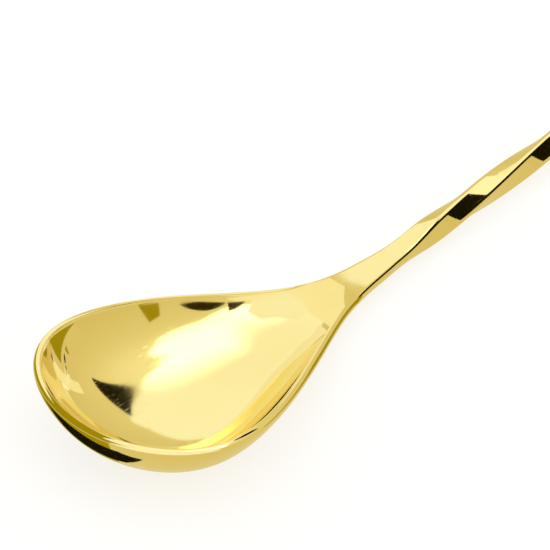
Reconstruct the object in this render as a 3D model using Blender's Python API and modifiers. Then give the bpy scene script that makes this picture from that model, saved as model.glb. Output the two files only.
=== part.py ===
"""A twisted-stem bar spoon, lying on a table on the underside of its bowl and on its counterweight.

+X runs from the bowl to the counterweight, +Z is up and the table is Z = 0. The sizes below are in
millimetres. `along` is the distance from the bowl's tip, and `start` and `end` name the two ends of a
piece along the stem.
"""

import math

import bmesh
import bpy
import numpy as np

MM = 0.001
OBJECT_NAME = "bar_spoon"

TOTAL_LENGTH = 300.0
JOINT_GAP = 0.3

# The bowl, from its tip to the narrowest place of its neck. The outline's half widths stand at angles
# on a half circle whose diameter is that length, so that the stations crowd towards the round tip.
BOWL_LENGTH = 61.5
OUTLINE_ANGLES = (0, 25, 50, 75, 100, 125, 150, 180)
HALF_WIDTHS = (0.0, 10.0, 16.1, 15.0, 9.6, 4.2, 2.3, 1.65)
RIM_HEIGHTS = (10.4, 9.9, 7.4, 3.9, 3.1)  # at even steps from the tip to the neck
RIM_LAND = 1.0
NECK_LAND = 0.5
LAND_NARROWS = 0.6  # where the rim starts to narrow, in bowl lengths
RIM_WALL = 0.85
EDGE_RADIUS = 0.2
HOLLOW_DEPTH = 8.55  # puts the keel on the table
HOLLOW_FULLNESS = 1.1  # 0 gives a parabolic hollow, more gives a flatter floor and steeper walls
HOLLOW_FADE = (0.50, 0.93)  # where the hollow starts to shallow and where it has gone, in bowl lengths
EXTRA_UNDERSIDE = 0.15
NECK_THICKENS = (0.45, 0.85)  # where the underside starts and ends thickening, in bowl lengths
SPINE_START = 9.0

# The neck is flat above and round below. It turns into the square bar over NECK_MORPH.
NECK_HEIGHT = 2.4
NECK_WALL = 0.6
NECK_ROUNDING = 0.95  # the underside's rounding, as a share of the neck's half width
NECK_ABOVE_AXIS = 0.7
NECK_MORPH = 11.0
BOWL_TANG = 1.3
BRAZE_LENGTH = 0.8

# The square bar, its left-hand twist and its round spigot.
BAR_SIDE = 3.05
BAR_CORNER = 0.25
TWIST_PITCH = 76.0
TWIST_START = 2.7
TWIST_RAMP = 6.0
SPIGOT_RADIUS = 1.0
SPIGOT_LENGTH = 13.0

# The turned pieces at the far end.
COLLAR_LENGTH = 3.2
COLLAR_RADIUS = 2.7
COLLAR_RIM_RADIUS = 2.1
WEIGHT_LENGTH = 34.0
WEIGHT_RADIUS = 6.0
WEIGHT_WIDEST = 10.5  # from the flat end
WEIGHT_NECK_RADIUS = 2.3
WEIGHT_FLAT_RADIUS = 2.8
WEIGHT_BORE_DEPTH = 10.0

# Mesh density.
BOWL_ROWS = 36
BOWL_STEPS = 9
TANG_ROWS = 2
CORNER_POINTS = 4
RING_SPACING = 2.2
TURNED_STEPS = 32
BEAD_STEPS = 8
UPPER_STEPS, LOWER_STEPS = 12, 9  # of the counterweight's profile, above and below its widest place

NUDGE = 1e-4  # a small step of the outline's angle, in radians
NECK_HALF_WIDTH = HALF_WIDTHS[-1]
WIDEST = max(HALF_WIDTHS)
STEM_START = BOWL_LENGTH + BOWL_TANG + JOINT_GAP + BRAZE_LENGTH + JOINT_GAP
WEIGHT_END = TOTAL_LENGTH - WEIGHT_LENGTH
STEM_END = WEIGHT_END - JOINT_GAP - COLLAR_LENGTH - JOINT_GAP
BORE_RADIUS = SPIGOT_RADIUS + JOINT_GAP
NECK_AXIS_HEIGHT = RIM_HEIGHTS[-1] - NECK_ABOVE_AXIS


# ---------------------------------------------------------------- the curves of the bowl and the neck


def spline(knots, values, end_slope=None):
    """A cubic spline through the knots, as a function. An end without a slope has no curvature."""
    x, y = np.array(knots, float), np.array(values, float)
    step, count = np.diff(x), len(x)
    matrix, right = np.eye(count), np.zeros(count)
    rise = np.diff(y) / step
    for i in range(1, count - 1):
        matrix[i, i - 1 : i + 2] = step[i - 1], 2 * (step[i - 1] + step[i]), step[i]
        right[i] = 6 * (rise[i] - rise[i - 1])
    if end_slope is not None:
        matrix[-1, -2:] = step[-1], 2 * step[-1]
        right[-1] = 6 * (end_slope - rise[-1])
    bend = np.linalg.solve(matrix, right)

    def at(t):
        i = np.clip(np.searchsorted(x, t) - 1, 0, count - 2)
        left, near = (x[i + 1] - t) / step[i], (t - x[i]) / step[i]
        curve = (left**3 - left) * bend[i] + (near**3 - near) * bend[i + 1]
        return left * y[i] + near * y[i + 1] + curve * step[i] ** 2 / 6

    return at


def ease(value, start, end):
    """0 before start, 1 after end, and a smooth step between them."""
    t = np.clip((value - start) / (end - start), 0, 1)
    return t * t * t * (10 - 15 * t + 6 * t * t)


STEM_SLOPE = (WEIGHT_RADIUS - NECK_AXIS_HEIGHT) / (TOTAL_LENGTH - WEIGHT_WIDEST - BOWL_LENGTH)
half_width_at = spline(np.radians(OUTLINE_ANGLES), HALF_WIDTHS, end_slope=0)
rim_height_in_bowl = spline(
    np.linspace(0, BOWL_LENGTH, len(RIM_HEIGHTS)), RIM_HEIGHTS, end_slope=STEM_SLOPE
)


def outline(angle):
    """The outline's place along the spoon and its half width, at an angle of the half circle."""
    return BOWL_LENGTH * (1 - np.cos(angle)) / 2, half_width_at(angle)


def square_share(along):
    """0 where the neck is round below, 1 where it has become the square bar."""
    return ease(along, BOWL_LENGTH, BOWL_LENGTH + NECK_MORPH)


def axis_height(along):
    """The height of the stem's axis, which rises to the middle of the counterweight."""
    return NECK_AXIS_HEIGHT + STEM_SLOPE * (along - BOWL_LENGTH)


def top_height(along):
    """The height of the rim, and past the bowl of the neck's flat top."""
    beyond = np.maximum(along - BOWL_LENGTH, 0)
    swell = (BAR_SIDE / 2 - NECK_ABOVE_AXIS) * square_share(along)
    return rim_height_in_bowl(np.minimum(along, BOWL_LENGTH)) + STEM_SLOPE * beyond + swell


def rim_land(along):
    """How wide the flat rim is: it narrows into the neck."""
    narrowed = ease(along, LAND_NARROWS * BOWL_LENGTH, BOWL_LENGTH)
    return RIM_LAND + (NECK_LAND - RIM_LAND) * narrowed


def inner_edge(angle):
    """The hollow's edge: the outline moved inwards by the width of the rim."""
    along, half_width = outline(angle)
    ahead, behind = outline(angle + NUDGE), outline(angle - NUDGE)
    run, rise = ahead[0] - behind[0], ahead[1] - behind[1]
    length, land = np.hypot(run, rise), rim_land(along)
    return along + land * rise / length, half_width - land * run / length


FINE_ANGLES = np.linspace(NUDGE, math.pi - NUDGE, 1500)
INNER_ALONG, INNER_HALF_WIDTH = inner_edge(FINE_ANGLES)
OUTER_ALONG, OUTER_HALF_WIDTH = outline(FINE_ANGLES)


def bowl_profile(openness):
    """How deep a bowl is where the outline is this open: 0 at the edge, 1 in the widest middle."""
    return openness * (1 + HOLLOW_FULLNESS) / (1 + HOLLOW_FULLNESS * openness)


def openness(along, across, edge_along, edge_half_width):
    squared = np.interp(along, edge_along, edge_half_width**2)
    return np.maximum(squared - across**2, 0) / WIDEST**2


def depth_at(along):
    start, end = (share * BOWL_LENGTH for share in HOLLOW_FADE)
    return HOLLOW_DEPTH * (1 - ease(along, start, end))


def hollow_height(along, across):
    """The upper surface inside the rim."""
    inside = openness(along, across, INNER_ALONG, INNER_HALF_WIDTH)
    return top_height(along) - depth_at(along) * bowl_profile(inside)


def neck_section(along):
    """Half width, height, and the width and height of the rounding of the lower corners."""
    square = square_share(along)
    half_width = NECK_HALF_WIDTH + (BAR_SIDE / 2 - NECK_HALF_WIDTH) * square
    height = NECK_HEIGHT + (BAR_SIDE - NECK_HEIGHT) * square
    corner_width = NECK_ROUNDING * NECK_HALF_WIDTH
    corner_height = NECK_HEIGHT - NECK_WALL
    return (
        half_width,
        height,
        corner_width + (BAR_CORNER - corner_width) * square,
        corner_height + (BAR_CORNER - corner_height) * square,
    )


def underside_height(along, across, half_width):
    """The lower surface: the bowl's outside, thickening into the round underside of the neck."""
    neck_half_width, height, corner_width, corner_height = neck_section(along)
    start, end = (share * BOWL_LENGTH for share in NECK_THICKENS)
    thickened = ease(along, start, end)
    wall = RIM_WALL + (height - corner_height - RIM_WALL) * thickened
    corner_width = corner_width * half_width / neck_half_width
    corner_share = (across - half_width + corner_width) / np.maximum(corner_width, 1e-6)
    arc = np.sqrt(1 - np.clip(corner_share, 0, 1) ** 2)
    inside = openness(along, across, OUTER_ALONG, OUTER_HALF_WIDTH)
    bulge = (depth_at(along) + EXTRA_UNDERSIDE) * bowl_profile(inside) * (along <= BOWL_LENGTH)
    return top_height(along) - wall - bulge - corner_height * thickened * arc


# ---------------------------------------------------------------- the bowl with its neck


def bowl_row(angle):
    """One half of a rib of the bowl: from the middle of the hollow, over the rim, to the keel."""
    edge_along, edge = outline(angle)
    inner_along, inner = inner_edge(angle)
    spine = SPINE_START + (BOWL_LENGTH - SPINE_START) * (1 - math.cos(angle)) / 2
    points = []
    for step in range(BOWL_STEPS + 1):
        share = math.sin(0.5 * math.pi * step / BOWL_STEPS)
        along, across = spine + (inner_along - spine) * share, inner * share
        points.append((along, across, hollow_height(along, across)))
    points += rim_points(edge_along, edge, inner_along, inner)
    for step in range(BOWL_STEPS + 1):
        share = math.cos(0.5 * math.pi * step / BOWL_STEPS)
        along, across = spine + (edge_along - spine) * share, edge * share
        points.append((along, across, underside_height(along, across, half_width_near(along, edge))))
    return points


def half_width_near(along, edge):
    """The half width that the underside's rounding is measured from."""
    return np.maximum(np.interp(along, OUTER_ALONG, OUTER_HALF_WIDTH), min(edge, NECK_HALF_WIDTH))


def rim_points(edge_along, edge, inner_along, inner):
    """The rounded upper edge of the outer wall."""
    land = math.hypot(edge_along - inner_along, edge - inner)
    share = EDGE_RADIUS / land
    along = edge_along + (inner_along - edge_along) * share
    across = edge + (inner - edge) * share
    top = top_height(edge_along)
    middle = 1 - math.sqrt(0.5)
    return [
        (along, across, top),
        (
            edge_along + (along - edge_along) * middle,
            edge + (across - edge) * middle,
            top - EDGE_RADIUS * middle,
        ),
        (edge_along, edge, top - EDGE_RADIUS),
    ]


def tang_row(along):
    """One half of a section of the neck's end, with the points of a bowl row."""
    half_width = neck_section(along)[0]
    inner = half_width - NECK_LAND
    points = []
    for step in range(BOWL_STEPS + 1):
        across = inner * math.sin(0.5 * math.pi * step / BOWL_STEPS)
        points.append((along, across, top_height(along)))
    points += rim_points(along, half_width, along, inner)
    for step in range(BOWL_STEPS + 1):
        across = half_width * math.cos(0.5 * math.pi * step / BOWL_STEPS)
        points.append((along, across, underside_height(along, across, half_width)))
    return points


def build_bowl(collection):
    """The forged bowl and neck: one half as a loft over its ribs, and the other by mirroring."""
    angles = np.linspace(0, math.pi, BOWL_ROWS + 1)
    rows = [bowl_row(angle) for angle in angles]
    rows += [
        tang_row(BOWL_LENGTH + BOWL_TANG * (row + 1) / TANG_ROWS) for row in range(TANG_ROWS)
    ]
    mesh = bmesh.new()
    grid = [[mesh.verts.new(place(*point)) for point in row] for row in rows]
    for near, far in zip(grid, grid[1:]):
        for i in range(len(near) - 1):
            mesh.faces.new((near[i], far[i], far[i + 1], near[i + 1]))
    mesh.faces.new(grid[-1])
    bowl = finish_mesh("bowl", mesh, collection)
    mirror = bowl.modifiers.new("other_half", "MIRROR")
    mirror.use_axis = (False, True, False)
    mirror.use_mirror_merge = True
    mirror.merge_threshold = 0.000001
    return bowl


# ---------------------------------------------------------------- the stem and its braze


def twist_at(along):
    """How far the bar has turned: the twist's rate grows over a short ramp and then stays."""
    rate = 2 * math.pi / TWIST_PITCH
    run = max(along - BOWL_LENGTH - TWIST_START, 0)
    return rate * (run * run / (2 * TWIST_RAMP) if run < TWIST_RAMP else run - TWIST_RAMP / 2)


def bar_ring(along):
    """The closed section of the neck or bar, turned by the twist about the stem's axis."""
    half_width, height, corner_width, corner_height = neck_section(along)
    middle = top_height(along) - height / 2 - axis_height(along)
    top_corner = EDGE_RADIUS + (BAR_CORNER - EDGE_RADIUS) * square_share(along)
    corners = (
        (0, half_width - top_corner, height / 2 - top_corner, top_corner, top_corner),
        (1, -half_width + top_corner, height / 2 - top_corner, top_corner, top_corner),
        (2, -half_width + corner_width, -height / 2 + corner_height, corner_width, corner_height),
        (3, half_width - corner_width, -height / 2 + corner_height, corner_width, corner_height),
    )
    turn, ring = -twist_at(along), []
    for quarter, centre_across, centre_up, width, tall in corners:
        for step in range(CORNER_POINTS):
            angle = 0.5 * math.pi * (quarter + step / (CORNER_POINTS - 1))
            across = centre_across + width * math.cos(angle)
            up = middle + centre_up + tall * math.sin(angle)
            ring.append(
                (
                    along,
                    across * math.cos(turn) - up * math.sin(turn),
                    axis_height(along) + across * math.sin(turn) + up * math.cos(turn),
                )
            )
    return ring


def round_ring(along, radius):
    """A circle about the stem's axis, with as many points as the bar's section."""
    turn, ring = -twist_at(STEM_END), []
    for quarter in range(4):
        for step in range(CORNER_POINTS):
            angle = 0.5 * math.pi * (quarter + (step + 0.5) / CORNER_POINTS) + turn
            up = axis_height(along) + radius * math.sin(angle)
            ring.append((along, radius * math.cos(angle), up))
    return ring


def build_loft(name, rings, collection):
    """A solid through closed rings, with flat ends."""
    mesh = bmesh.new()
    grid = [[mesh.verts.new(place(*point)) for point in ring] for ring in rings]
    for near, far in zip(grid, grid[1:]):
        for i, vertex in enumerate(near):
            after = (i + 1) % len(near)
            mesh.faces.new((vertex, near[after], far[after], far[i]))
    mesh.faces.new(list(reversed(grid[0])))
    mesh.faces.new(grid[-1])
    return finish_mesh(name, mesh, collection)


def build_neck_braze(collection):
    """The filler metal between the neck and the bar, dressed flush with both."""
    start = BOWL_LENGTH + BOWL_TANG + JOINT_GAP
    rings = [bar_ring(start), bar_ring(start + BRAZE_LENGTH)]
    return build_loft("neck_braze", rings, collection)


def build_stem(collection):
    """The twisted square bar, with a round spigot turned on its far end."""
    count = math.ceil((STEM_END - STEM_START) / RING_SPACING)
    rings = [bar_ring(along) for along in np.linspace(STEM_START, STEM_END, count + 1)]
    rings.append(round_ring(STEM_END, SPIGOT_RADIUS))
    rings.append(round_ring(STEM_END + SPIGOT_LENGTH, SPIGOT_RADIUS))
    return build_loft("twisted_stem", rings, collection)


# ---------------------------------------------------------------- the turned pieces


def build_collar(collection):
    """The bored ring that covers the end of the twist."""
    profile = [(BORE_RADIUS, COLLAR_LENGTH), (COLLAR_RIM_RADIUS, COLLAR_LENGTH)]
    for step in range(1, BEAD_STEPS):
        up = COLLAR_LENGTH * (1 - step / BEAD_STEPS)
        bead = math.sin(math.pi * step / BEAD_STEPS)
        profile.append((COLLAR_RIM_RADIUS + (COLLAR_RADIUS - COLLAR_RIM_RADIUS) * bead, up))
    profile += [(COLLAR_RIM_RADIUS, 0.0), (BORE_RADIUS, 0.0)]
    return build_turned("collar", profile, True, STEM_END + JOINT_GAP + COLLAR_LENGTH, collection)


def weight_radius(up):
    """The teardrop's radius at a height above its flat end."""
    if up <= WEIGHT_WIDEST:
        flat = WEIGHT_FLAT_RADIUS / WEIGHT_RADIUS
        reach = WEIGHT_WIDEST / math.sqrt(1 - flat * flat)
        return WEIGHT_RADIUS * math.sqrt(1 - ((WEIGHT_WIDEST - up) / reach) ** 2)
    share = (up - WEIGHT_WIDEST) / (WEIGHT_LENGTH - WEIGHT_WIDEST)
    swell = 0.5 + 0.5 * math.cos(math.pi * share)
    return WEIGHT_NECK_RADIUS + (WEIGHT_RADIUS - WEIGHT_NECK_RADIUS) * swell


def build_counterweight(collection):
    """The turned teardrop, with a blind bore for the spigot and a small flat on its end."""
    bore_floor = WEIGHT_LENGTH - WEIGHT_BORE_DEPTH
    profile = [(0.0, bore_floor), (BORE_RADIUS, bore_floor), (BORE_RADIUS, WEIGHT_LENGTH)]
    for step in range(UPPER_STEPS):
        up = WEIGHT_LENGTH + (WEIGHT_WIDEST - WEIGHT_LENGTH) * step / UPPER_STEPS
        profile.append((weight_radius(up), up))
    for step in range(LOWER_STEPS + 1):
        up = WEIGHT_WIDEST * (1 - math.sin(0.5 * math.pi * step / LOWER_STEPS))
        profile.append((weight_radius(up), up))
    profile.append((0.0, 0.0))
    return build_turned("counterweight", profile, False, TOTAL_LENGTH, collection)


def build_turned(name, profile, closed, end, collection):
    """A profile of radii and heights, turned about the stem's axis. Its height 0 is at `end`."""
    mesh = bmesh.new()
    points = [mesh.verts.new((radius * MM, 0, up * MM)) for radius, up in profile]
    for first, second in zip(points, points[1:]):
        mesh.edges.new((first, second))
    if closed:
        mesh.edges.new((points[-1], points[0]))
    turned = finish_mesh(name, mesh, collection, recalculate=False)
    screw = turned.modifiers.new("turning", "SCREW")
    screw.axis = "Z"
    screw.steps = TURNED_STEPS
    screw.render_steps = TURNED_STEPS
    screw.use_merge_vertices = True
    screw.merge_threshold = 0.000001
    turned.location = place(end, 0, axis_height(end))
    turned.rotation_euler = (0, -math.pi / 2 - math.atan(STEM_SLOPE), 0)
    return turned


# ---------------------------------------------------------------- objects and materials


def place(along, across, up):
    """A point in metres, with the middle of the object's length at X = 0."""
    return (along - TOTAL_LENGTH / 2) * MM, across * MM, up * MM


def finish_mesh(name, mesh, collection, recalculate=True):
    if recalculate:
        bmesh.ops.recalc_face_normals(mesh, faces=mesh.faces)
    data = bpy.data.meshes.new(name)
    mesh.to_mesh(data)
    mesh.free()
    data.shade_smooth()
    made = bpy.data.objects.new(name, data)
    collection.objects.link(made)
    return made


def polished_gold(name, colour, roughness):
    material = bpy.data.materials.new(name)
    material.use_nodes = True
    shader = material.node_tree.nodes["Principled BSDF"]
    shader.inputs["Base Color"].default_value = (*colour, 1)
    shader.inputs["Metallic"].default_value = 1.0
    shader.inputs["Roughness"].default_value = roughness
    return material


def main():
    for old in list(bpy.data.objects):
        bpy.data.objects.remove(old)
    collection = bpy.data.collections.new(OBJECT_NAME)
    bpy.context.scene.collection.children.link(collection)
    bowl_gold = polished_gold("bowl_gold", (0.80, 0.64, 0.22), 0.06)
    stem_gold = polished_gold("stem_gold", (0.78, 0.61, 0.20), 0.08)
    turned_gold = polished_gold("turned_gold", (0.79, 0.62, 0.21), 0.10)
    pieces = (
        (build_bowl(collection), bowl_gold),
        (build_neck_braze(collection), stem_gold),
        (build_stem(collection), stem_gold),
        (build_collar(collection), turned_gold),
        (build_counterweight(collection), turned_gold),
    )
    for piece, material in pieces:
        piece.data.materials.append(material)


main()
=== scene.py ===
"""The looks of the bar spoon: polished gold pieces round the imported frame, on a glossy white table.

The sizes below are in millimetres, and `along` is the distance from the bowl's tip towards the
counterweight. The frame is in metres.
"""

import math

import bmesh
import bpy
import numpy as np
from mathutils import Matrix, Vector


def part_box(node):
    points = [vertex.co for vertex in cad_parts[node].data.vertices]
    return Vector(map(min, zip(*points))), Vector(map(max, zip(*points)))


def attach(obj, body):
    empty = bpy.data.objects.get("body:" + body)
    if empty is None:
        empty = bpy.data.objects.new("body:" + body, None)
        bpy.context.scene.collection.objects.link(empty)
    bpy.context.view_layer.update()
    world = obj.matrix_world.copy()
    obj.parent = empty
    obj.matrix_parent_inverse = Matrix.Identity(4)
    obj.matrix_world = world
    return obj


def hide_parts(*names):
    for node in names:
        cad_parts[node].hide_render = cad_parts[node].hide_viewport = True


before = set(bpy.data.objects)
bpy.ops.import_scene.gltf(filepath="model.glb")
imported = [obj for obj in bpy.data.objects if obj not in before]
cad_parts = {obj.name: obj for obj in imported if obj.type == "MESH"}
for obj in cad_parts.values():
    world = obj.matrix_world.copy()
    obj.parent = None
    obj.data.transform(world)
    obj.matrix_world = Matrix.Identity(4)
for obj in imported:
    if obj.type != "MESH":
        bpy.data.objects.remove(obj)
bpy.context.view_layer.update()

MM = 0.001

# ---------------------------------------------------------------- sizes that the frame gives

bowl_low, bowl_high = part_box("bowl")
braze_low, braze_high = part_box("neck_braze")
stem_low, stem_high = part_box("twisted_stem")
collar_low, collar_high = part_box("collar")
weight_low, weight_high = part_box("counterweight")

TIP_X = bowl_low.x
WEIGHT_RADIUS = (weight_high.y - weight_low.y) / 2 / MM
COLLAR_RADIUS = (collar_high.y - collar_low.y) / 2 / MM

# ---------------------------------------------------------------- the spoon's own curves

TOTAL_LENGTH = 300.0
BOWL_LENGTH = 61.5
OUTLINE_ANGLES = (0, 25, 50, 75, 100, 125, 150, 180)
HALF_WIDTHS = (0.0, 10.0, 16.1, 15.0, 9.6, 4.2, 2.3, 1.65)
RIM_HEIGHTS = (10.4, 9.9, 7.4, 3.9, 3.1)
RIM_LAND = 1.0
NECK_LAND = 0.5
LAND_NARROWS = 0.6
RIM_WALL = 0.85
HOLLOW_DEPTH = 8.55
HOLLOW_FULLNESS = 1.1
HOLLOW_FADE = (0.50, 0.93)
EXTRA_UNDERSIDE = 0.15
NECK_THICKENS = (0.45, 0.85)
SPINE_START = 9.0
NECK_HEIGHT = 2.4
NECK_WALL = 0.6
NECK_ROUNDING = 0.95
NECK_ABOVE_AXIS = 0.7
NECK_MORPH = 11.0
NECK_FLARE = 0.15
NECK_FILLET = 7.0
BAR_SIDE = 3.16
BAR_CORNER = 0.62
TWIST_PITCH = 76.0
TWIST_START = 2.7
TWIST_RAMP = 6.0
SPIGOT_RADIUS = 1.0
SPIGOT_REACH = 6.0
BORE_RADIUS = SPIGOT_RADIUS + 0.05
BORE_DEPTH = 10.0
COLLAR_LENGTH = 3.2
COLLAR_RIM_RADIUS = 2.1
COLLAR_SHOULDER = 0.45
COLLAR_GAP = 0.02
BEAD_GROOVE = 0.1
BEAD_FULLNESS = 0.7
WEIGHT_LENGTH = 34.0
WEIGHT_WIDEST = 10.5
WEIGHT_NECK_RADIUS = 2.3
WEIGHT_FLAT_RADIUS = 2.8

# The roundings that only the fine meshes have.
INNER_EDGE_ROUND = 0.16
OUTER_EDGE_ROUND = 0.45
LOWER_EDGE_ROUND = 0.40
LEAST_ROUND = 0.01
LEAST_WALL = 0.02
ROUND_SHARE_OF_WALL = 0.75
LAND_CROWN = 0.02
FACE_CROWN = 0.03
TURNED_ROUND = 0.12
MOUTH_ROUND = 0.3
FOOT_ROUND = 0.3

# Mesh density.
BOWL_ROWS = 220
TANG_ROWS = 6
BRAZE_RINGS = 5
LAND_POINTS = 5
HOLLOW_POINTS = 56
UNDERSIDE_POINTS = 48
ROUND_POINTS = 7
RING_SPACING = 0.25
CORNER_POINTS = 12
FACE_POINTS = 8
TURNED_STEPS = 128
WEIGHT_ROWS = 60
BEAD_ROWS = 25

NECK_HALF_WIDTH = HALF_WIDTHS[-1]
WIDEST = max(HALF_WIDTHS)
NECK_AXIS_HEIGHT = RIM_HEIGHTS[-1] - NECK_ABOVE_AXIS
STEM_SLOPE = (WEIGHT_RADIUS - NECK_AXIS_HEIGHT) / (TOTAL_LENGTH - WEIGHT_WIDEST - BOWL_LENGTH)


def along_of(x):
    """A place in the frame's X as a distance from the bowl's tip."""
    return (x - TIP_X) / MM


BOWL_END = (along_of(bowl_high.x) + along_of(braze_low.x)) / 2
STEM_START = (along_of(braze_high.x) + along_of(stem_low.x)) / 2
WEIGHT_END = TOTAL_LENGTH - WEIGHT_LENGTH
COLLAR_END = WEIGHT_END - COLLAR_GAP
STEM_END = COLLAR_END - COLLAR_LENGTH


def spline(knots, values, end_slope=None):
    """A cubic spline through the knots, as a function. An end without a slope has no curvature."""
    x, y = np.array(knots, float), np.array(values, float)
    step, count = np.diff(x), len(x)
    matrix, right = np.eye(count), np.zeros(count)
    rise = np.diff(y) / step
    for i in range(1, count - 1):
        matrix[i, i - 1 : i + 2] = step[i - 1], 2 * (step[i - 1] + step[i]), step[i]
        right[i] = 6 * (rise[i] - rise[i - 1])
    if end_slope is not None:
        matrix[-1, -2:] = step[-1], 2 * step[-1]
        right[-1] = 6 * (end_slope - rise[-1])
    bend = np.linalg.solve(matrix, right)

    def at(t):
        i = np.clip(np.searchsorted(x, t) - 1, 0, count - 2)
        left, near = (x[i + 1] - t) / step[i], (t - x[i]) / step[i]
        curve = (left**3 - left) * bend[i] + (near**3 - near) * bend[i + 1]
        return left * y[i] + near * y[i + 1] + curve * step[i] ** 2 / 6

    return at


def ease(value, start, end):
    """0 before start, 1 after end, and a smooth step between them."""
    t = np.clip((value - start) / (end - start), 0, 1)
    return t * t * t * (10 - 15 * t + 6 * t * t)


half_width_at = spline(np.radians(OUTLINE_ANGLES), HALF_WIDTHS, end_slope=0)
rim_height_in_bowl = spline(
    np.linspace(0, BOWL_LENGTH, len(RIM_HEIGHTS)), RIM_HEIGHTS, end_slope=STEM_SLOPE
)


def neck_fillet(along):
    """What the soft run from the bowl's flare into the neck adds to the half width."""
    near = np.maximum(NECK_FILLET - np.abs(along - BOWL_LENGTH), 0)
    return NECK_FLARE * near**2 / (4 * NECK_FILLET)


def outline(angle):
    """The outline's place along the spoon and its half width, at an angle of the half circle."""
    along = BOWL_LENGTH * (1 - np.cos(angle)) / 2
    return along, half_width_at(angle) + neck_fillet(along)


def square_share(along):
    """0 where the neck is round below, 1 where it has become the square bar."""
    return ease(along, BOWL_LENGTH, BOWL_LENGTH + NECK_MORPH)


def axis_height(along):
    """The height of the stem's axis, which rises to the middle of the counterweight."""
    return NECK_AXIS_HEIGHT + STEM_SLOPE * (along - BOWL_LENGTH)


def top_height(along):
    """The height of the rim, and past the bowl of the neck's flat top."""
    beyond = np.maximum(along - BOWL_LENGTH, 0)
    swell = (BAR_SIDE / 2 - NECK_ABOVE_AXIS) * square_share(along)
    return rim_height_in_bowl(np.minimum(along, BOWL_LENGTH)) + STEM_SLOPE * beyond + swell


def inner_edge(angle):
    """The hollow's edge: the outline moved inwards by the width of the rim."""
    along, half_width = outline(angle)
    nudge = 1e-4
    ahead, behind = outline(angle + nudge), outline(angle - nudge)
    run, rise = ahead[0] - behind[0], ahead[1] - behind[1]
    narrowing = ease(along, LAND_NARROWS * BOWL_LENGTH, BOWL_LENGTH)
    land = RIM_LAND + (NECK_LAND - RIM_LAND) * narrowing
    length = np.hypot(run, rise)
    return along + land * rise / length, half_width - land * run / length


FINE_ANGLES = np.linspace(1e-4, math.pi - 1e-4, 6000)
INNER_ALONG, INNER_HALF_WIDTH = inner_edge(FINE_ANGLES)
OUTER_ALONG, OUTER_HALF_WIDTH = outline(FINE_ANGLES)


def bowl_profile(openness):
    """How deep a bowl is where the outline is this open: 0 at the edge, 1 in the widest middle."""
    return openness * (1 + HOLLOW_FULLNESS) / (1 + HOLLOW_FULLNESS * openness)


def openness(along, across, edge_along, edge_half_width):
    squared = np.interp(along, edge_along, edge_half_width**2)
    return np.maximum(squared - across**2, 0) / WIDEST**2


def depth_at(along):
    start, end = (share * BOWL_LENGTH for share in HOLLOW_FADE)
    return HOLLOW_DEPTH * (1 - ease(along, start, end))


def hollow_height(along, across):
    """The upper surface inside the rim."""
    inside = openness(along, across, INNER_ALONG, INNER_HALF_WIDTH)
    return top_height(along) - depth_at(along) * bowl_profile(inside)


def neck_section(along):
    """Half width, height, and the width and height of the rounding of the lower corners."""
    square = square_share(along)
    round_half_width = NECK_HALF_WIDTH + neck_fillet(along)
    half_width = round_half_width + (BAR_SIDE / 2 - round_half_width) * square
    height = NECK_HEIGHT + (BAR_SIDE - NECK_HEIGHT) * square
    corner_width = NECK_ROUNDING * round_half_width
    corner_height = NECK_HEIGHT - NECK_WALL
    return (
        half_width,
        height,
        corner_width + (BAR_CORNER - corner_width) * square,
        corner_height + (BAR_CORNER - corner_height) * square,
    )


def underside_height(along, across, half_width):
    """The lower surface: the bowl's outside, thickening into the round underside of the neck."""
    neck_half_width, height, corner_width, corner_height = neck_section(along)
    start, end = (share * BOWL_LENGTH for share in NECK_THICKENS)
    thickened = ease(along, start, end)
    wall = RIM_WALL + (height - corner_height - RIM_WALL) * thickened
    corner_width = corner_width * half_width / neck_half_width
    corner_share = (across - half_width + corner_width) / np.maximum(corner_width, 1e-6)
    arc = np.sqrt(1 - np.clip(corner_share, 0, 1) ** 2)
    inside = openness(along, across, OUTER_ALONG, OUTER_HALF_WIDTH)
    bulge = (depth_at(along) + EXTRA_UNDERSIDE) * bowl_profile(inside) * (along <= BOWL_LENGTH)
    return top_height(along) - wall - bulge - corner_height * thickened * arc


# ---------------------------------------------------------------- mesh tools


def in_frame(points):
    """Points as (along, across, up) in millimetres, moved into the frame's metres."""
    points = np.asarray(points, float) * MM
    points[..., 0] += TIP_X
    return points


def grid_mesh(name, grid, ring=False, caps=(False, False)):
    """A mesh over rows of points. A ring joins each row's end to its start."""
    rows, count = grid.shape[:2]
    index = np.arange(rows * count).reshape(rows, count)
    here, after = index, np.roll(index, -1, axis=1)
    if not ring:
        here, after = here[:, :-1], after[:, :-1]
    quads = np.stack([here[:-1], after[:-1], after[1:], here[1:]], -1)
    faces = quads.reshape(-1, 4).tolist()
    if caps[0]:
        faces.append(index[0][::-1].tolist())
    if caps[1]:
        faces.append(index[-1].tolist())
    mesh = bpy.data.meshes.new(name)
    mesh.from_pydata(in_frame(grid).reshape(-1, 3).tolist(), [], faces)
    mesh.update()
    piece = bpy.data.objects.new(name, mesh)
    bpy.context.scene.collection.objects.link(piece)
    return piece


def clean(piece, weld=1e-8):
    """Welds coincident points, points all faces outwards and shades the piece smooth."""
    work = bmesh.new()
    work.from_mesh(piece.data)
    bmesh.ops.remove_doubles(work, verts=work.verts, dist=weld)
    bmesh.ops.recalc_face_normals(work, faces=work.faces)
    work.to_mesh(piece.data)
    work.free()
    piece.data.shade_smooth()
    return piece


def sharpen_ends(piece, angle=math.radians(50)):
    """Keeps the flat ends of a piece from shading into its sides."""
    piece.data.set_sharp_from_angle(angle=angle)
    return piece


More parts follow.
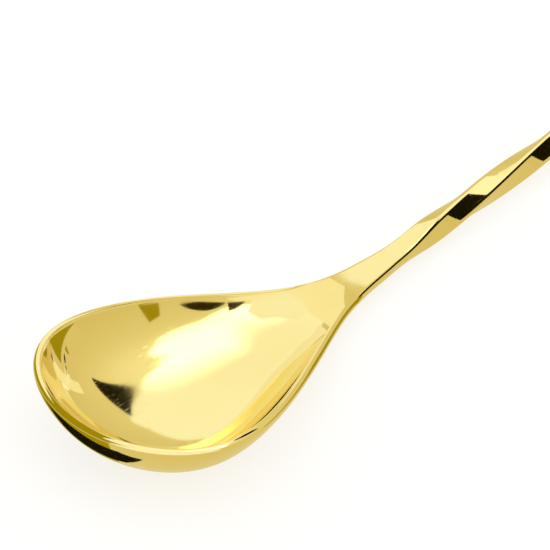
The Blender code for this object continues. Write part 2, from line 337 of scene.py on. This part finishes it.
def rounding(before, corner, after, count=ROUND_POINTS):
    """Points of a quarter round that leaves before, bends at corner and arrives at after."""
    turn = 0.5 * math.pi * np.linspace(0, 1, count)[:, None]
    before, corner, after = (np.asarray(point, float) for point in (before, corner, after))
    return corner + (before - corner) * (1 - np.sin(turn)) + (after - corner) * (1 - np.cos(turn))


# ---------------------------------------------------------------- the bowl and its neck


def toward(start, end, distance):
    """The share of the way from start to end, in plan, that this distance is."""
    return distance / max(math.hypot(end[0] - start[0], end[1] - start[1]), 1e-9)


def half_row(edge_point, inner_point, spine_point, hollow_at, underside_at):
    """Half a rib, from the middle of the hollow, over the rounded rim, to the keel."""
    places = (edge_point, inner_point, spine_point)
    edge, inner, spine = (np.array(place, float) for place in places)
    top = top_height(edge[0])
    fading = 1 - ease(edge[0], LAND_NARROWS * BOWL_LENGTH, BOWL_LENGTH)
    inner_reach = max(INNER_EDGE_ROUND * fading, LEAST_ROUND)
    reach = toward(inner, spine, inner_reach)
    shares = np.sin(0.5 * math.pi * np.linspace(0, 1, HOLLOW_POINTS)) * (1 - reach)
    plan = spine + (inner - spine) * shares[:, None]
    hollow = np.column_stack([plan, hollow_at(plan)])
    land_width = math.hypot(*(edge - inner))
    lip = inner + (edge - inner) * inner_reach / land_width
    brink = edge + (inner - edge) * OUTER_EDGE_ROUND / land_width
    lip_point, brink_point = (*lip, top_height(lip[0])), (*brink, top)
    inner_round = rounding(hollow[-1], (*inner, top_height(inner[0])), lip_point)
    share = np.linspace(0, 1, LAND_POINTS)[1:-1, None]
    land = np.array(lip_point) * (1 - share) + np.array(brink_point) * share
    land[:, 2] += LAND_CROWN * fading * (4 * share * (1 - share))[:, 0]
    wall = float(top - underside_at(edge[None])[0])
    wall_top, corner = min(OUTER_EDGE_ROUND, ROUND_SHARE_OF_WALL * wall), top - wall
    outer_round = rounding(brink_point, (*edge, top), (*edge, top - wall_top))
    thickened = ease(edge[0], *(share * BOWL_LENGTH for share in NECK_THICKENS))
    lower_round = LOWER_EDGE_ROUND * (1 - thickened)
    reach = toward(edge, spine, lower_round)
    shares = np.cos(0.5 * math.pi * np.linspace(0, 1, UNDERSIDE_POINTS))
    plan = spine + (edge - spine) * (shares * (1 - reach))[:, None]
    below = np.column_stack([plan, underside_at(plan)])
    start = (*edge, min(corner + lower_round, top - wall_top - LEAST_WALL))
    lower_curve = rounding(start, (*edge, corner), below[0])
    return np.concatenate([hollow, inner_round[1:], land, outer_round, lower_curve, below[1:]])


def bowl_half_row(angle):
    edge, inner = outline(angle), inner_edge(angle)
    spine = (SPINE_START + (BOWL_LENGTH - SPINE_START) * (1 - math.cos(angle)) / 2, 0.0)

    def hollow_at(plan):
        return hollow_height(plan[:, 0], plan[:, 1])

    def underside_at(plan):
        half_width = np.interp(plan[:, 0], OUTER_ALONG, OUTER_HALF_WIDTH)
        half_width = np.maximum(half_width, min(edge[1], NECK_HALF_WIDTH))
        return underside_height(plan[:, 0], plan[:, 1], half_width)

    return half_row(edge, inner, spine, hollow_at, underside_at)


def tang_half_row(along):
    half_width = neck_section(along)[0]

    def underside_at(plan):
        return underside_height(plan[:, 0], plan[:, 1], half_width)

    edge, inner = (along, half_width), (along, half_width - NECK_LAND)
    return half_row(edge, inner, (along, 0.0), lambda plan: top_height(plan[:, 0]), underside_at)


def make_bowl():
    """The forged bowl and its neck, one half of which is mirrored."""
    angles = np.linspace(0, math.pi, BOWL_ROWS)[:-1]
    rows = [bowl_half_row(angle) for angle in angles]
    rows += [tang_half_row(along) for along in np.linspace(BOWL_LENGTH, BOWL_END, TANG_ROWS)]
    bowl = clean(grid_mesh("bowl_shell", np.array(rows), caps=(False, True)))
    mirror = bowl.modifiers.new("other_half", "MIRROR")
    mirror.use_axis = (False, True, False)
    mirror.use_mirror_merge = True
    mirror.merge_threshold = 1e-7
    return sharpen_ends(bowl)


# ---------------------------------------------------------------- the stem and its braze


def twist_at(along):
    """How far the bar has turned: the twist's rate grows over a short ramp and then stays."""
    rate = 2 * math.pi / TWIST_PITCH
    run = max(along - BOWL_LENGTH - TWIST_START, 0)
    return rate * (run * run / (2 * TWIST_RAMP) if run < TWIST_RAMP else run - TWIST_RAMP / 2)


def section_points(along):
    """The closed section of the neck or bar about the stem's axis, before it is turned."""
    half_width, height, corner_width, corner_height = neck_section(along)
    lift = top_height(along) - height / 2 - axis_height(along)
    square = square_share(along)
    top_corner = OUTER_EDGE_ROUND + (BAR_CORNER - OUTER_EDGE_ROUND) * square
    corners = (
        (half_width - top_corner, height / 2 - top_corner, top_corner, top_corner),
        (-half_width + top_corner, height / 2 - top_corner, top_corner, top_corner),
        (-half_width + corner_width, -height / 2 + corner_height, corner_width, corner_height),
        (half_width - corner_width, -height / 2 + corner_height, corner_width, corner_height),
    )
    ring = []
    for quarter, (centre_across, centre_up, width, tall) in enumerate(corners):
        angle = 0.5 * math.pi * (quarter + np.linspace(0, 1, CORNER_POINTS))
        arc = np.column_stack([np.cos(angle) * width, np.sin(angle) * tall])
        ring.append(arc + (centre_across, centre_up + lift))
    closed = []
    for quarter, arc in enumerate(ring):
        closed.append(arc)
        start, end = arc[-1], ring[(quarter + 1) % 4][0]
        share = np.linspace(0, 1, FACE_POINTS)[1:-1, None]
        face = start + (end - start) * share
        facing = 0.5 * math.pi * (quarter + 1)
        outward = np.array([math.cos(facing), math.sin(facing)])
        crown = FACE_CROWN * square * 4 * share * (1 - share)
        closed.append(face + outward * crown)
    return np.concatenate(closed)


def bar_ring(along):
    """The section at this place, turned by the twist."""
    turn = -twist_at(along)
    across, up = section_points(along).T
    return np.column_stack(
        [
            np.full(len(across), along),
            across * math.cos(turn) - up * math.sin(turn),
            axis_height(along) + across * math.sin(turn) + up * math.cos(turn),
        ]
    )


def spigot_ring(along):
    """The bar's last section, drawn in to the round of the spigot."""
    ring = bar_ring(STEM_END)
    flat = ring[:, 1:] - (0, axis_height(STEM_END))
    flat *= SPIGOT_RADIUS / np.hypot(*flat.T)[:, None]
    return np.column_stack([np.full(len(flat), along), flat + (0, axis_height(along))])


def make_braze():
    """The filler metal of the joint, dressed flush with the neck and the bar."""
    rings = [bar_ring(along) for along in np.linspace(BOWL_END, STEM_START, BRAZE_RINGS)]
    braze = grid_mesh("neck_joint", np.array(rings), ring=True, caps=(True, True))
    return sharpen_ends(clean(braze))


def make_stem():
    """The twisted square bar with its spigot."""
    count = math.ceil((STEM_END - STEM_START) / RING_SPACING)
    rings = [bar_ring(along) for along in np.linspace(STEM_START, STEM_END, count)]
    rings += [spigot_ring(STEM_END + LEAST_ROUND), spigot_ring(WEIGHT_END + SPIGOT_REACH)]
    stem = grid_mesh("twisted_bar", np.array(rings), ring=True, caps=(True, True))
    return sharpen_ends(clean(stem))


# ---------------------------------------------------------------- the turned pieces


def make_turned(name, profile, end):
    """A profile of radii and heights, turned about the stem's axis. Its height 0 is at `end`."""
    profile = np.array(profile, float)
    turn = np.linspace(0, 2 * math.pi, TURNED_STEPS, endpoint=False)
    tilt = math.atan(STEM_SLOPE)
    back = np.array([-math.cos(tilt), 0, -math.sin(tilt)])
    upright = np.array([-math.sin(tilt), 0, math.cos(tilt)])
    rings = []
    for radius, up in profile:
        spokes = np.cos(turn)[:, None] * upright + np.sin(turn)[:, None] * (0, 1, 0)
        rings.append(np.array([end, 0, axis_height(end)]) + back * up + spokes * radius)
    return clean(grid_mesh(name, np.array(rings), ring=True), weld=1e-7)


def weight_radius(up):
    """The teardrop's radius at a height above its flat end."""
    if up <= WEIGHT_WIDEST:
        flat = WEIGHT_FLAT_RADIUS / WEIGHT_RADIUS
        reach = WEIGHT_WIDEST / math.sqrt(1 - flat * flat)
        return WEIGHT_RADIUS * math.sqrt(1 - ((WEIGHT_WIDEST - up) / reach) ** 2)
    share = (up - WEIGHT_WIDEST) / (WEIGHT_LENGTH - WEIGHT_WIDEST)
    swell = 0.5 + 0.5 * math.cos(math.pi * share)
    return WEIGHT_NECK_RADIUS + (WEIGHT_RADIUS - WEIGHT_NECK_RADIUS) * swell


def make_weight():
    """The teardrop, with a rounded edge round its bore and round its flat end."""
    brim, heel = WEIGHT_LENGTH - MOUTH_ROUND, TURNED_ROUND
    mouth = rounding(
        (BORE_RADIUS + 0.1, WEIGHT_LENGTH),
        (WEIGHT_NECK_RADIUS, WEIGHT_LENGTH),
        (weight_radius(brim), brim),
    )
    ups = np.linspace(brim, WEIGHT_WIDEST, WEIGHT_ROWS)[1:]
    lower = WEIGHT_WIDEST * (1 - np.sin(0.5 * math.pi * np.linspace(0, 1, WEIGHT_ROWS)[1:]))
    ups = np.concatenate([ups, lower[lower > heel]])
    body = [(weight_radius(up), up) for up in ups]
    foot = rounding(
        (weight_radius(heel), heel), (WEIGHT_FLAT_RADIUS, 0.0), (WEIGHT_FLAT_RADIUS - FOOT_ROUND, 0.0)
    )
    bore_end = WEIGHT_LENGTH - BORE_DEPTH
    profile = [(1e-6, bore_end), (BORE_RADIUS, bore_end), (BORE_RADIUS, WEIGHT_LENGTH)]
    profile += [*mouth.tolist(), *body, *foot.tolist(), (1.6, 0.0), (0.8, 0.0), (1e-6, 0.0)]
    return make_turned("teardrop_weight", profile, TOTAL_LENGTH)


def make_collar():
    """The bored ring with a bead between two narrow shoulders."""
    rim, top, shoulder = COLLAR_RIM_RADIUS, COLLAR_LENGTH, COLLAR_SHOULDER
    within = rim - TURNED_ROUND
    profile = [(BORE_RADIUS, 0.0), (BORE_RADIUS, top), (within, top)]
    profile += rounding((within, top), (rim, top), (rim, top - TURNED_ROUND)).tolist()
    bead = np.linspace(0, math.pi, BEAD_ROWS)
    groove = rim - BEAD_GROOVE
    radius = groove + (COLLAR_RADIUS - groove) * np.sin(bead) ** BEAD_FULLNESS
    up = top - shoulder - (top - 2 * shoulder) * (1 - np.cos(bead)) / 2
    profile += [(rim, top - shoulder + 0.08), *zip(radius, up), (rim, shoulder - 0.08)]
    profile += rounding((rim, TURNED_ROUND), (rim, 0.0), (within, 0.0)).tolist()
    profile += [(BORE_RADIUS, 0.0)]
    return make_turned("stem_collar", profile, COLLAR_END)


# ---------------------------------------------------------------- materials

GOLD = (0.92, 0.80, 0.345, 1)
GOLD_DEEP = (0.90, 0.765, 0.31, 1)
GOLD_WORN = (0.94, 0.86, 0.50, 1)
POLISHED = (0.03, 0.07)
LINE_ROUGHNESS = 0.025
SCUFF_ROUGHNESS = 0.14
WORN_ROUGHNESS = 0.06
LINE_DEPTH = 5e-7
RIPPLE_DEPTH = 1e-5

# The part of each pattern's range that is used.
NOISE_RANGE = (0.35, 0.65)
SCUFF_RANGE = (0.66, 0.74)
EDGE_RANGE = (0.53, 0.62)

# Patterns per metre along the spoon, across it and up.
ALONG_GRAIN = (90, 3200, 3200)
ROUND_GRAIN = (3200, 40, 40)
SCUFF_GRAIN = (420, 3800, 3800)
SCUFF_TURN = (0.0, 0.2, 0.6)
CLOUD_SCALE = 70
RIPPLE_SCALE = 160


def add(tree, kind, **values):
    """A node with some inputs set, each to a value or to another node's output."""
    made = tree.nodes.new(kind)
    for name, value in values.items():
        socket = made.inputs[name.replace("_", " ")]
        if isinstance(value, bpy.types.NodeSocket):
            tree.links.new(value, socket)
        else:
            socket.default_value = value
    return made


def ranged(tree, value, start, end, low, high):
    """A pattern's values from start to end, moved to low to high and held there."""
    made = add(tree, "ShaderNodeMapRange", Value=value)
    for name, number in (("From Min", start), ("From Max", end), ("To Min", low), ("To Max", high)):
        made.inputs[name].default_value = number
    return made.outputs[0]


def total(tree, first, *others):
    """The sum of several outputs."""
    for other in others:
        plus = tree.nodes.new("ShaderNodeMath")
        tree.links.new(first, plus.inputs[0])
        tree.links.new(other, plus.inputs[1])
        first = plus.outputs[0]
    return first


def blended(tree, share, first, second):
    """A colour between two, each a plain colour or another node's output."""
    mix = tree.nodes.new("ShaderNodeMix")
    mix.data_type = "RGBA"
    tree.links.new(share, mix.inputs[0])
    for socket, colour in ((mix.inputs[6], first), (mix.inputs[7], second)):
        if isinstance(colour, bpy.types.NodeSocket):
            tree.links.new(colour, socket)
        else:
            socket.default_value = colour
    return mix.outputs[2]


def gold(name, grain):
    """Buffed gold plate: polishing lines along the grain, faint clouds, scuffs and worn edges."""
    material = bpy.data.materials.new(name)
    material.use_nodes = True
    tree = material.node_tree
    shader = tree.nodes["Principled BSDF"]
    place = add(tree, "ShaderNodeTexCoord").outputs["Object"]
    drawn = add(tree, "ShaderNodeMapping", Vector=place, Scale=grain).outputs[0]
    crossed = add(tree, "ShaderNodeMapping", Vector=place, Scale=SCUFF_GRAIN, Rotation=SCUFF_TURN)
    lines = add(tree, "ShaderNodeTexNoise", Vector=drawn, Scale=1, Detail=3).outputs[0]
    marks = add(tree, "ShaderNodeTexNoise", Vector=crossed.outputs[0], Scale=1, Detail=2).outputs[0]
    cloud = add(tree, "ShaderNodeTexNoise", Vector=place, Scale=CLOUD_SCALE, Detail=4).outputs[0]
    ripple = add(tree, "ShaderNodeTexNoise", Vector=place, Scale=RIPPLE_SCALE, Detail=1).outputs[0]
    edge = add(tree, "ShaderNodeNewGeometry").outputs["Pointiness"]
    clouded = ranged(tree, cloud, *NOISE_RANGE, 0, 1)
    worn = ranged(tree, edge, *EDGE_RANGE, 0, 1)
    plate = blended(tree, clouded, GOLD_DEEP, GOLD)
    tree.links.new(blended(tree, worn, plate, GOLD_WORN), shader.inputs["Base Color"])
    roughness = total(
        tree,
        ranged(tree, cloud, *NOISE_RANGE, *POLISHED),
        ranged(tree, lines, *NOISE_RANGE, 0, LINE_ROUGHNESS),
        ranged(tree, marks, *SCUFF_RANGE, 0, SCUFF_ROUGHNESS),
        ranged(tree, edge, *EDGE_RANGE, 0, WORN_ROUGHNESS),
    )
    tree.links.new(roughness, shader.inputs["Roughness"])
    fine = add(tree, "ShaderNodeBump", Height=lines, Strength=1, Distance=LINE_DEPTH)
    soft = add(tree, "ShaderNodeBump", Height=ripple, Strength=1, Distance=RIPPLE_DEPTH)
    tree.links.new(fine.outputs[0], soft.inputs["Normal"])
    tree.links.new(soft.outputs[0], shader.inputs["Normal"])
    shader.inputs["Metallic"].default_value = 1.0
    return material


# ---------------------------------------------------------------- the studio

# The camera: its direction from the point that it looks at, which lies on the table, and its lens.
CAMERA_ELEVATION = 37.94
CAMERA_AZIMUTH = 50.86
CAMERA_ROLL = 3.06
CAMERA_DISTANCE = 500.0
CAMERA_LENS = 238.7
CAMERA_CLIP = (0.01, 20)
AIM_ALONG = 50.85
AIM_ACROSS = 10.91


def make_camera():
    elevation, azimuth = math.radians(CAMERA_ELEVATION), math.radians(CAMERA_AZIMUTH)
    level = math.cos(elevation)
    back = Vector((-math.sin(azimuth) * level, -math.cos(azimuth) * level, math.sin(elevation)))
    data = bpy.data.cameras.new("camera")
    data.lens = CAMERA_LENS
    data.clip_start, data.clip_end = CAMERA_CLIP
    camera = bpy.data.objects.new("camera", data)
    bpy.context.scene.collection.objects.link(camera)
    roll = Matrix.Rotation(math.radians(CAMERA_ROLL), 3, "Z")
    camera.matrix_world = (back.to_track_quat("Z", "Y").to_matrix() @ roll).to_4x4()
    aim = Vector((TIP_X + AIM_ALONG * MM, AIM_ACROSS * MM, 0))
    camera.location = aim + back * CAMERA_DISTANCE * MM
    bpy.context.scene.camera = camera


WHITE = (1.0, 1.0, 1.0)
BEIGE = (0.79, 0.685, 0.415)
BEIGE_LOW, BEIGE_MIDDLE, BEIGE_HIGH = (0.75, 0.65, 0.375), (0.86, 0.76, 0.49), (1.0, 0.92, 0.69)
FLOOR_TONE = (0.77, 0.67, 0.39)
BLACK = (0.008, 0.006, 0.0)
BROWN = (0.025, 0.016, 0.0)
GLOW = (1.04, 1.0, 0.9)
OLIVE = (0.38, 0.30, 0.005)
NECK_BEIGE = (1.04, 0.985, 0.84)
LAMP_DIRECTION = (112, 63)
LAMP_DISTANCE = 1.4
LAMP_SIZE = (1.12, 0.30)
LAMP_STRENGTH = 2.5
LAMP_CORE = 0.85
WORLD_STRENGTH = 1.08

# The walls and the wedge-shaped gap between them, in millimetres from the middle of the bowl.
VIEWPOINT = (TIP_X + 0.020, 0.004, 0.004)
WALL_DISTANCE, OLIVE_WALL_DISTANCE, GAP_DISTANCE = 500, 520, 105
WALL_BENDS = (39, 53, 61, 70, 80, 94, 112, 139, 180)
WALL_TOPS = (14, 31, 35, 51, 56, 61.5, 62.5, 56, 36)
OLIVE_WALL_TOP = 62

# The strips along the stem, in the frame's millimetres.
STRIP_START, BRIGHT_START, STRIP_END = -92, -66, 158
STRIP_KNEE, STRIP_TOP = 15, 20
STRIP_REACH = 16
STEM_AXIS = 3.5
DARK_LOW, DARK_HIGH = 15, 70
LIP_EDGE, BRIGHT_EDGE = -2.5, 9

# The screens stand across the neck.
SCREEN_X = -96
SCREEN_FOOT, SCREEN_LOW, SCREEN_MIDDLE, SCREEN_TOP = 0.5, 4.6, 13, 28
SCREEN_SIDE, NECK_SIDE, SCREEN_SPLIT, SCREEN_END = -45, -3.8, 1, 8

# The table: its size in metres, its own glow, and how matte and how glossy it is.
FLOOR_SIZE = 8
FLOOR_GLOW = 1.1
FLOOR_MATTE = 0.3
FLOOR_GLOSS = 0.10
FLOOR_ROUGHNESS = 0.12


def direction(azimuth, elevation):
    """A unit vector: degrees from +Y towards +X, and degrees above level."""
    turn, rise = math.radians(azimuth), math.radians(elevation)
    level = math.cos(rise)
    return Vector((level * math.sin(turn), level * math.cos(turn), math.sin(rise)))


def from_bowl(azimuth, elevation, distance):
    """A place this many millimetres from the middle of the bowl."""
    return Vector(VIEWPOINT) + distance * MM * direction(azimuth, elevation)


def emitter(name):
    """A glowing material, with its tree, its light and its output."""
    material = bpy.data.materials.new(name)
    material.use_nodes = True
    tree = material.node_tree
    tree.nodes.clear()
    light = tree.nodes.new("ShaderNodeEmission")
    output = tree.nodes.new("ShaderNodeOutputMaterial")
    tree.links.new(light.outputs["Emission"], output.inputs["Surface"])
    return material, tree, light, output


def plain_light(name, colour, strength=1.0):
    """A card of one colour."""
    material, _, light, _ = emitter(name)
    light.inputs["Color"].default_value = (*colour, 1)
    light.inputs["Strength"].default_value = strength
    return material


def graded_light(name, stops):
    """A card that changes colour with its height: (metres above the floor, colour) pairs."""
    material, tree, light, _ = emitter(name)
    place = tree.nodes.new("ShaderNodeNewGeometry")
    parts = tree.nodes.new("ShaderNodeSeparateXYZ")
    ramp = tree.nodes.new("ShaderNodeValToRGB")
    tree.links.new(place.outputs["Position"], parts.inputs["Vector"])
    tree.links.new(parts.outputs["Z"], ramp.inputs["Fac"])
    tree.links.new(ramp.outputs["Color"], light.inputs["Color"])
    elements = ramp.color_ramp.elements
    while len(elements) < len(stops):
        elements.new(0.5)
    for element, (height, colour) in zip(elements, stops):
        element.position = height
        element.color = (*colour, 1)
    return material


def soft_light(name, strength):
    """A lamp card that fades to nothing at its rim."""
    material, tree, light, output = emitter(name)
    place = tree.nodes.new("ShaderNodeTexCoord")
    ball = tree.nodes.new("ShaderNodeTexGradient")
    ball.gradient_type = "SPHERICAL"
    fade = tree.nodes.new("ShaderNodeMapRange")
    fade.interpolation_type = "SMOOTHSTEP"
    fade.inputs["From Max"].default_value = LAMP_CORE
    clear = tree.nodes.new("ShaderNodeBsdfTransparent")
    mix = tree.nodes.new("ShaderNodeMixShader")
    tree.links.new(place.outputs["Object"], ball.inputs["Vector"])
    tree.links.new(ball.outputs["Fac"], fade.inputs["Value"])
    tree.links.new(fade.outputs["Result"], mix.inputs["Fac"])
    tree.links.new(clear.outputs["BSDF"], mix.inputs[1])
    tree.links.new(light.outputs["Emission"], mix.inputs[2])
    tree.links.new(mix.outputs["Shader"], output.inputs["Surface"])
    light.inputs["Strength"].default_value = strength
    return material


def stage_mesh(name, points, faces, material):
    """A studio card that only the polished metal sees."""
    mesh = bpy.data.meshes.new(name)
    mesh.from_pydata([tuple(point) for point in points], [], faces)
    mesh.materials.append(material)
    thing = bpy.data.objects.new(name, mesh)
    bpy.context.scene.collection.objects.link(thing)
    thing.visible_camera = False
    thing.visible_diffuse = False
    thing.visible_shadow = False
    thing.visible_transmission = False
    thing.visible_volume_scatter = False
    return thing


def card(name, corners, colour, strength=1.0):
    """A flat card with its corners in millimetres."""
    points = [MM * Vector(corner) for corner in corners]
    return stage_mesh(name, points, [range(len(points))], plain_light(name, colour, strength))


def bent(start, middle, end, count=13):
    """Places on the curve that runs from start through middle to end."""
    share = np.linspace(0, 1, count)[:, None]
    start, middle, end = (np.array(place, float) for place in (start, middle, end))
    first, last = (1 - share) * (1 - 2 * share), share * (2 * share - 1)
    return start * first + middle * 4 * share * (1 - share) + end * last


def crescent(start, over, under, end):
    """The outline between two curves that both run from start to end, one over the other."""
    return [*bent(start, over, end), *bent(start, under, end)[-2:0:-1]]


def wall(name, top, distance, material):
    """A standing card with its top edge at (azimuth, elevation) places, as the bowl sees them."""
    upper = [
        from_bowl(azimuth, elevation, distance / math.cos(math.radians(elevation)))
        for azimuth, elevation in top
    ]
    lower = [Vector((place.x, place.y, 0)) for place in upper]
    count = len(upper)
    faces = [(i, i + 1, count + i + 1, count + i) for i in range(count - 1)]
    return stage_mesh(name, upper + lower, faces, material)


def make_backdrop():
    """The walls round the bowl and the soft lamp above them."""
    azimuths = np.arange(WALL_BENDS[0], WALL_BENDS[-1] + 1, 3)
    top = zip(azimuths, np.interp(azimuths, WALL_BENDS, WALL_TOPS))
    tones = ((0.05, BEIGE_LOW), (0.45, BEIGE_MIDDLE), (0.85, BEIGE_HIGH))
    wall("beige_wall", top, WALL_DISTANCE, graded_light("beige_wall", tones))
    back = [(azimuth, OLIVE_WALL_TOP) for azimuth in range(-85, 24, 18)]
    wall("olive_wall", back, OLIVE_WALL_DISTANCE, plain_light("olive_wall", OLIVE))
    outward = direction(*LAMP_DIRECTION)
    along = direction(150, 50) - direction(60, 55)
    side = outward.cross(along).normalized()
    along = side.cross(outward)
    square = ((-1, -1, 0), (1, -1, 0), (1, 1, 0), (-1, 1, 0))
    lamp = stage_mesh("soft_lamp", square, [range(4)], soft_light("soft_lamp", LAMP_STRENGTH))
    facing = Matrix((along, side, outward)).transposed().to_4x4()
    size = Matrix.Diagonal((*LAMP_SIZE, 1, 1))
    place = Vector(VIEWPOINT) + LAMP_DISTANCE * outward
    lamp.matrix_world = Matrix.Translation(place) @ facing @ size


def make_hollow_cards():
    """What the hollow mirrors close by: the dark wedge, and the small patches at the far rim."""
    wedge = crescent((60, 39), (80, 54.3), (80, 45.2), (107, 44))
    card("dark_gap", [from_bowl(*place, GAP_DISTANCE) / MM for place in wedge], BLACK)
    start, end = (-117, -0.1, 11.9), (-109.8, -0.2, 13.7)
    card("long_bar", crescent(start, (-113.5, -0.1, 13.3), (-113.5, -0.7, 12.4), end), BROWN)
    short_bar = ((-109.5, -0.2, 13.8), (-106, 1.3, 14.5), (-109, 1, 14.5), (-110.3, 0.7, 14.3))
    card("short_bar", short_bar, BROWN)
    start, end = (-109.3, -0.6, 13.3), (-97.2, 6, 12.7)
    card("rim_glow", crescent(start, (-104.6, 2, 14.6), (-103.4, 1.8, 14.3), end), GLOW)
    olive = ((-122.4, 1.6, 11), (-119.8, 0.6, 11.3), (-120, 1, 12.3), (-121.4, 1.6, 12.6))
    card("olive_patch", olive, OLIVE)
    light = (
        (-103, 1, 16), (-94, 7, 12.5), (-97, 7, 12.5),
        (-101, 7, 13.5), (-106, 4.5, 16.5), (-107, 2, 16.5),
    )
    card("bright_patch", light, WHITE, 1.04)


def make_table_cards():
    """What the outside of the bowl mirrors: a tan sheet over the table, an olive sheet round the tip,
    a black sheet of painted shade beside the tip, and an olive card behind the tip.
    """

    def laid(name, height, outline, colour):
        card(name, [(*place, height) for place in outline], colour)

    rim = ((-140, 14, 17), (-146, 12, 19), (-155, 0, 21), (-142, 1, 19), (-138, 9, 14))
    card("rim_tone", rim, OLIVE)
    laid("table_tone", 0.3, ((-400, -300), (400, -300), (400, 300), (-400, 300)), FLOOR_TONE)
    laid("table_olive", 0.4, ((-175, -2), (-145, -2), (-143, 24), (-175, 50)), OLIVE)
    # A black sheet of painted shade: it stands for the table's dark shade beside and under the bowl's
    # tip, where only the metal sees it.
    shade_outline = ((-151, -3.5), (-148, -7.5), (-146.2, -3.5), (-145.5, 9), (-149, 20), (-153, 20))
    laid("table_painted_shade", 0.5, shade_outline, BLACK)


def make_stem_cards():
    """Dark and bright strips along the stem."""

    def strip(name, start, end, first, second, colour, strength=1.0):
        corners = ((start, *first), (end, *first), (end, *second), (start, *second))
        card(name, corners, colour, strength)

    low = (-STRIP_REACH, STEM_AXIS + STRIP_REACH * math.tan(math.radians(DARK_LOW)))
    knee = (-STRIP_REACH, STRIP_KNEE)
    top = (-(STRIP_TOP - STEM_AXIS) / math.tan(math.radians(DARK_HIGH)), STRIP_TOP)
    strip("dark_strip", STRIP_START, STRIP_END, low, knee, BLACK)
    strip("dark_slope", STRIP_START, STRIP_END, knee, top, BLACK)
    strip("dark_lip", STRIP_START, BRIGHT_START, top, (LIP_EDGE, STRIP_TOP), BLACK)
    strip("bright_strip", BRIGHT_START, STRIP_END, top, (BRIGHT_EDGE, STRIP_TOP), WHITE, 1.15)


def make_screens():
    """The screens at the neck, which hide the stem's strips from the bowl."""

    def screen(name, outline, colour):
        card(name, [(SCREEN_X, *place) for place in outline], colour)

    beige = (
        (SCREEN_SPLIT, SCREEN_LOW), (NECK_SIDE, SCREEN_LOW), (NECK_SIDE, SCREEN_MIDDLE),
        (SCREEN_SIDE, SCREEN_MIDDLE), (SCREEN_SIDE, SCREEN_TOP), (SCREEN_SPLIT, SCREEN_TOP),
    )
    neck = (
        (SCREEN_END, SCREEN_LOW), (SCREEN_SPLIT, SCREEN_LOW),
        (SCREEN_SPLIT, SCREEN_TOP), (SCREEN_END, SCREEN_TOP),
    )
    olive = (
        (NECK_SIDE, SCREEN_FOOT), (SCREEN_SIDE, SCREEN_FOOT),
        (SCREEN_SIDE, SCREEN_MIDDLE), (NECK_SIDE, SCREEN_MIDDLE),
    )
    screen("beige_screen", beige, BEIGE)
    screen("neck_screen", neck, NECK_BEIGE)
    screen("rim_screen", ((10, 4), (50, 4), (50, 17), (26, 15), (18, 11), (10, 11)), NECK_BEIGE)
    screen("olive_screen", olive, OLIVE)


def make_floor():
    """A white table top with a faint gloss."""
    bpy.ops.mesh.primitive_plane_add(size=FLOOR_SIZE)
    floor = bpy.context.object
    floor.name = "table_top"
    material = bpy.data.materials.new("table")
    material.use_nodes = True
    tree = material.node_tree
    tree.nodes.clear()
    glow = tree.nodes.new("ShaderNodeEmission")
    matte = tree.nodes.new("ShaderNodeBsdfDiffuse")
    gloss = tree.nodes.new("ShaderNodeBsdfGlossy")
    base, sheen = tree.nodes.new("ShaderNodeMixShader"), tree.nodes.new("ShaderNodeMixShader")
    output = tree.nodes.new("ShaderNodeOutputMaterial")
    base.inputs["Fac"].default_value = FLOOR_MATTE
    sheen.inputs["Fac"].default_value = FLOOR_GLOSS
    glow.inputs["Strength"].default_value = FLOOR_GLOW
    gloss.inputs["Roughness"].default_value = FLOOR_ROUGHNESS
    matte.inputs["Color"].default_value = (1, 1, 1, 1)
    tree.links.new(glow.outputs["Emission"], base.inputs[1])
    tree.links.new(matte.outputs["BSDF"], base.inputs[2])
    tree.links.new(base.outputs["Shader"], sheen.inputs[1])
    tree.links.new(gloss.outputs["BSDF"], sheen.inputs[2])
    tree.links.new(sheen.outputs["Shader"], output.inputs["Surface"])
    floor.data.materials.append(material)


def make_world():
    """A plain white studio, shown without a film curve."""
    world = bpy.data.worlds.new("studio")
    world.use_nodes = True
    bpy.context.scene.world = world
    background = world.node_tree.nodes["Background"]
    background.inputs["Color"].default_value = (1, 1, 1, 1)
    background.inputs["Strength"].default_value = WORLD_STRENGTH
    bpy.context.scene.view_settings.view_transform = "Standard"


def main():
    make_camera()
    make_world()
    make_floor()
    make_backdrop()
    make_hollow_cards()
    make_table_cards()
    make_stem_cards()
    make_screens()
    bowl_gold, stem_gold = gold("bowl_gold", ALONG_GRAIN), gold("stem_gold", ALONG_GRAIN)
    turned_gold = gold("turned_gold", ROUND_GRAIN)
    pieces = (
        (make_bowl(), "bowl", "bowl_gold", bowl_gold),
        (make_braze(), "neck_braze", "stem_gold", stem_gold),
        (make_stem(), "twisted_stem", "stem_gold", stem_gold),
        (make_collar(), "collar", "turned_gold", turned_gold),
        (make_weight(), "counterweight", "turned_gold", turned_gold),
    )
    for piece, node, slot, material in pieces:
        piece.data.materials.append(material)
        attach(piece, "root")
        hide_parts(node)


main()
